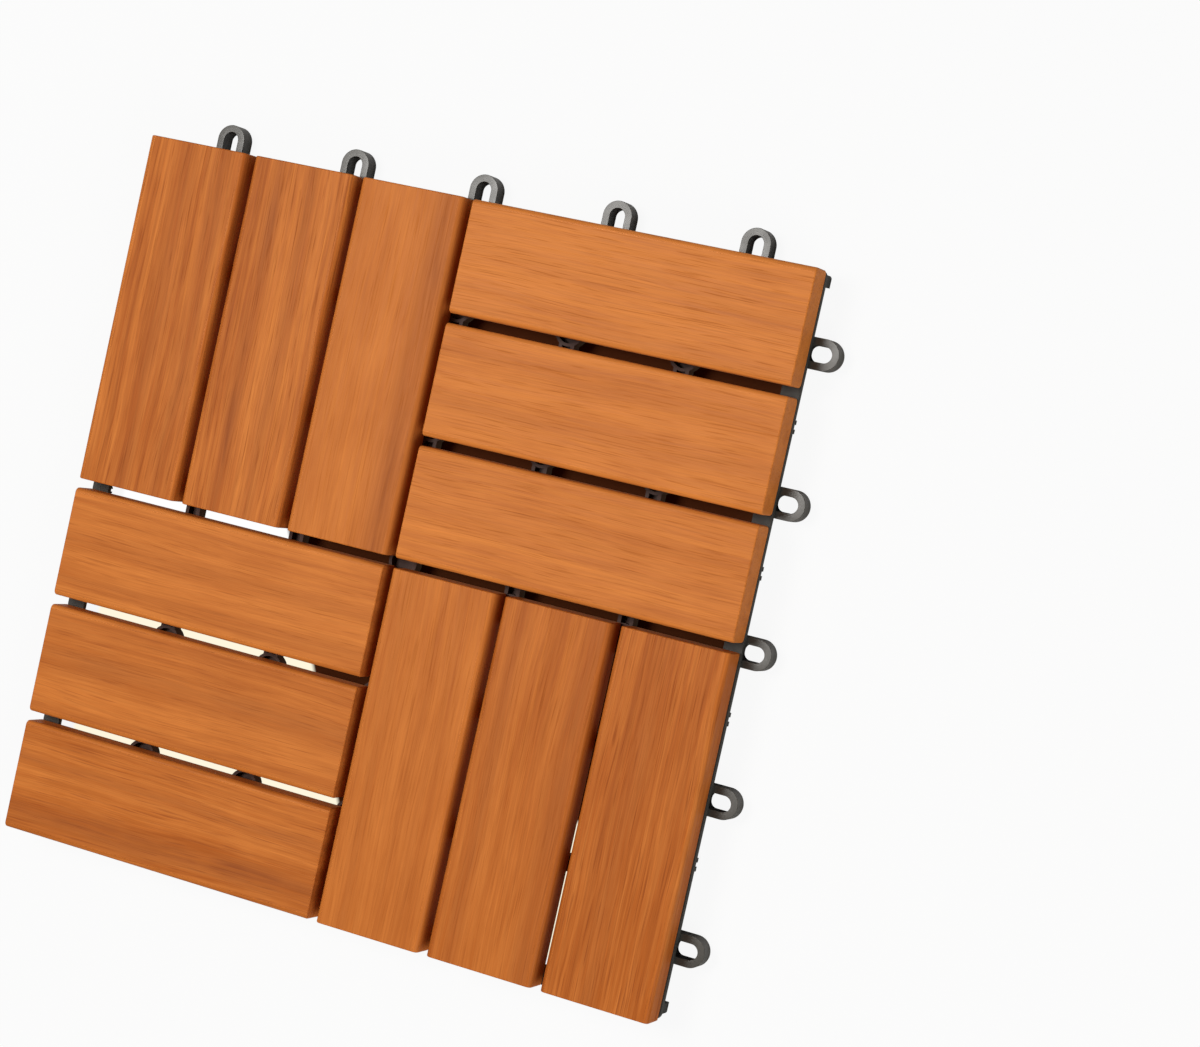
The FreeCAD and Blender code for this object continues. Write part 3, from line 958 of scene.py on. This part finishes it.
def floor_material(settings):
    """A pale floor, almost white to the camera, in shade under most of the tile and clear from below.

    It also gives a little warm light to the tile's underside.
    """
    material = bpy.data.materials.new("studio_floor")
    material.use_nodes = True
    tree = material.node_tree
    shader = tree.nodes["Principled BSDF"]
    shader.inputs["Roughness"].default_value = 0.9
    shader.inputs["Specular IOR Level"].default_value = 0.0
    spot = add_node(tree, "ShaderNodeTexCoord").outputs["Object"]
    parts = add_node(tree, "ShaderNodeSeparateXYZ", {0: spot}).outputs
    axes = {"x": parts["X"], "y": parts["Y"]}
    axes["slant"] = calc(tree, "MULTIPLY_ADD", axes["y"], SLANT, axes["x"])

    def region(ramps):
        ramps = [spread(tree, axes[axis], zero * MM, one * MM) for axis, zero, one in ramps]
        return folded(tree, "MULTIPLY", ramps)

    under = region(UNDER_TILE)
    lit = folded(tree, "MAXIMUM", [region(ramps) for ramps in LIT_REGIONS])
    dark = calc(tree, "MULTIPLY", under, calc(tree, "SUBTRACT", 1.0, lit))
    colour = mixed(tree, dark, rgba(settings.floor), SHADE_COLOUR)
    tree.links.new(colour, shader.inputs["Base Color"])

    # The camera gets the white, and the tile gets the glow
    camera = add_node(tree, "ShaderNodeLightPath").outputs["Is Camera Ray"]
    white = spread(tree, under, 0.0, 1.0, OPEN_WHITE, 1.0)
    seen = folded(tree, "MULTIPLY", (calc(tree, "SUBTRACT", 1.0, dark), camera, white))
    glow = folded(tree, "MULTIPLY", (calc(tree, "SUBTRACT", 1.0, camera), under, GLOW))
    # Painted warm light: the camera's white turns cream under the front of the tile
    painted_warm = calc(tree, "MULTIPLY", under, region(PAINTED_WARM_REGION))
    bright = mixed(tree, painted_warm, WHITE_COLOUR, PAINTED_WARM_COLOUR)
    tint = mixed(tree, camera, GLOW_COLOUR, bright)
    light = add_node(tree, "ShaderNodeEmission", {"Color": tint, "Strength": 1.0}).outputs[0]
    share = calc(tree, "MAXIMUM", seen, glow)
    mix = add_node(tree, "ShaderNodeMixShader", {0: share, 1: shader.outputs[0], 2: light}).outputs[0]

    clear = add_node(tree, "ShaderNodeBsdfTransparent").outputs[0]
    back = add_node(tree, "ShaderNodeNewGeometry").outputs["Backfacing"]
    both = add_node(tree, "ShaderNodeMixShader", {0: back, 1: mix, 2: clear}).outputs[0]
    tree.links.new(both, tree.nodes["Material Output"].inputs["Surface"])
    return material


def soft_light(name, place, size, power, colour):
    """A soft light that points at the tile."""
    bpy.ops.object.select_all(action="DESELECT")
    bpy.ops.object.light_add(type="AREA", location=place)
    lamp = bpy.context.object
    lamp.name = name
    lamp.rotation_euler = (-Vector(place)).to_track_quat("-Z", "Y").to_euler()
    lamp.data.shape = "RECTANGLE"
    lamp.data.size, lamp.data.size_y = size
    lamp.data.energy = power
    lamp.data.color = colour


def make_stage(settings):
    bpy.ops.object.select_all(action="DESELECT")
    bpy.ops.mesh.primitive_plane_add(size=FLOOR_SIZE, location=(0, 0, 0))
    floor = bpy.context.object
    floor.name = "studio_floor"
    floor.data.materials.append(floor_material(settings))
    for name, setting, place, size, colour in LIGHTS:
        soft_light(name, place, size, getattr(settings, setting), colour)
    scene = bpy.context.scene
    scene.world = bpy.data.worlds.new("studio")
    scene.world.use_nodes = True
    sky = scene.world.node_tree.nodes["Background"]
    sky.inputs["Color"].default_value = WHITE_COLOUR
    sky.inputs["Strength"].default_value = SKY_STRENGTH
    turn = [math.radians(degrees) for degrees in CAMERA_TURN]
    bpy.ops.object.camera_add(location=CAMERA_PLACE, rotation=turn)
    camera = bpy.context.object
    camera.name = "studio_camera"
    camera.data.lens = CAMERA_LENS
    camera.data.sensor_width = CAMERA_SENSOR
    camera.data.clip_start = CAMERA_NEAR
    scene.camera = camera
    scene.view_settings.view_transform = "Standard"


# Operators and panel

class DECKTILE_OT_boards(bpy.types.Operator):
    """Make the twelve hardwood boards"""
    bl_idname = "decktile.boards"
    bl_label = "Boards"

    def execute(self, context):
        make_boards(context.scene.decktile_boards)
        return {"FINISHED"}


class DECKTILE_OT_grid(bpy.types.Operator):
    """Make the moulded grid with its loops, pegs and feet"""
    bl_idname = "decktile.grid"
    bl_label = "Moulded Grid"

    def execute(self, context):
        make_grid(context.scene.decktile_grid)
        return {"FINISHED"}


class DECKTILE_OT_screws(bpy.types.Operator):
    """Make the screws that hold the boards from below"""
    bl_idname = "decktile.screws"
    bl_label = "Screws"

    def execute(self, context):
        make_screws(context.scene.decktile_screws)
        return {"FINISHED"}


class DECKTILE_OT_stage(bpy.types.Operator):
    """Set up the floor, the lights and the camera"""
    bl_idname = "decktile.stage"
    bl_label = "Studio"

    def execute(self, context):
        make_stage(context.scene.decktile_stage)
        return {"FINISHED"}


class DECKTILE_PT_panel(bpy.types.Panel):
    """The deck tile's pieces and sizes"""
    bl_idname = "DECKTILE_PT_panel"
    bl_label = "Deck Tile"
    bl_space_type = "VIEW_3D"
    bl_region_type = "UI"
    bl_category = "Deck Tile"

    def draw(self, context):
        for operator, settings in PARTS:
            box = self.layout.box()
            box.operator(operator.bl_idname)
            group = getattr(context.scene, settings)
            for name in type(group).__annotations__:
                box.prop(group, name)


SETTINGS = {
    "decktile_boards": BoardSettings,
    "decktile_grid": GridSettings,
    "decktile_screws": ScrewSettings,
    "decktile_stage": StageSettings,
}
PARTS = [
    (DECKTILE_OT_boards, "decktile_boards"),
    (DECKTILE_OT_grid, "decktile_grid"),
    (DECKTILE_OT_screws, "decktile_screws"),
    (DECKTILE_OT_stage, "decktile_stage"),
]
CLASSES = [*SETTINGS.values(), *(operator for operator, settings in PARTS), DECKTILE_PT_panel]


def register():
    for each in CLASSES:
        bpy.utils.register_class(each)
    for name, group in SETTINGS.items():
        setattr(bpy.types.Scene, name, bpy.props.PointerProperty(type=group))


def unregister():
    for name in SETTINGS:
        delattr(bpy.types.Scene, name)
    for each in reversed(CLASSES):
        bpy.utils.unregister_class(each)


def main():
    register()
    bpy.ops.decktile.boards()
    bpy.ops.decktile.grid()
    bpy.ops.decktile.screws()
    bpy.ops.decktile.stage()


if __name__ == "__main__":
    main()
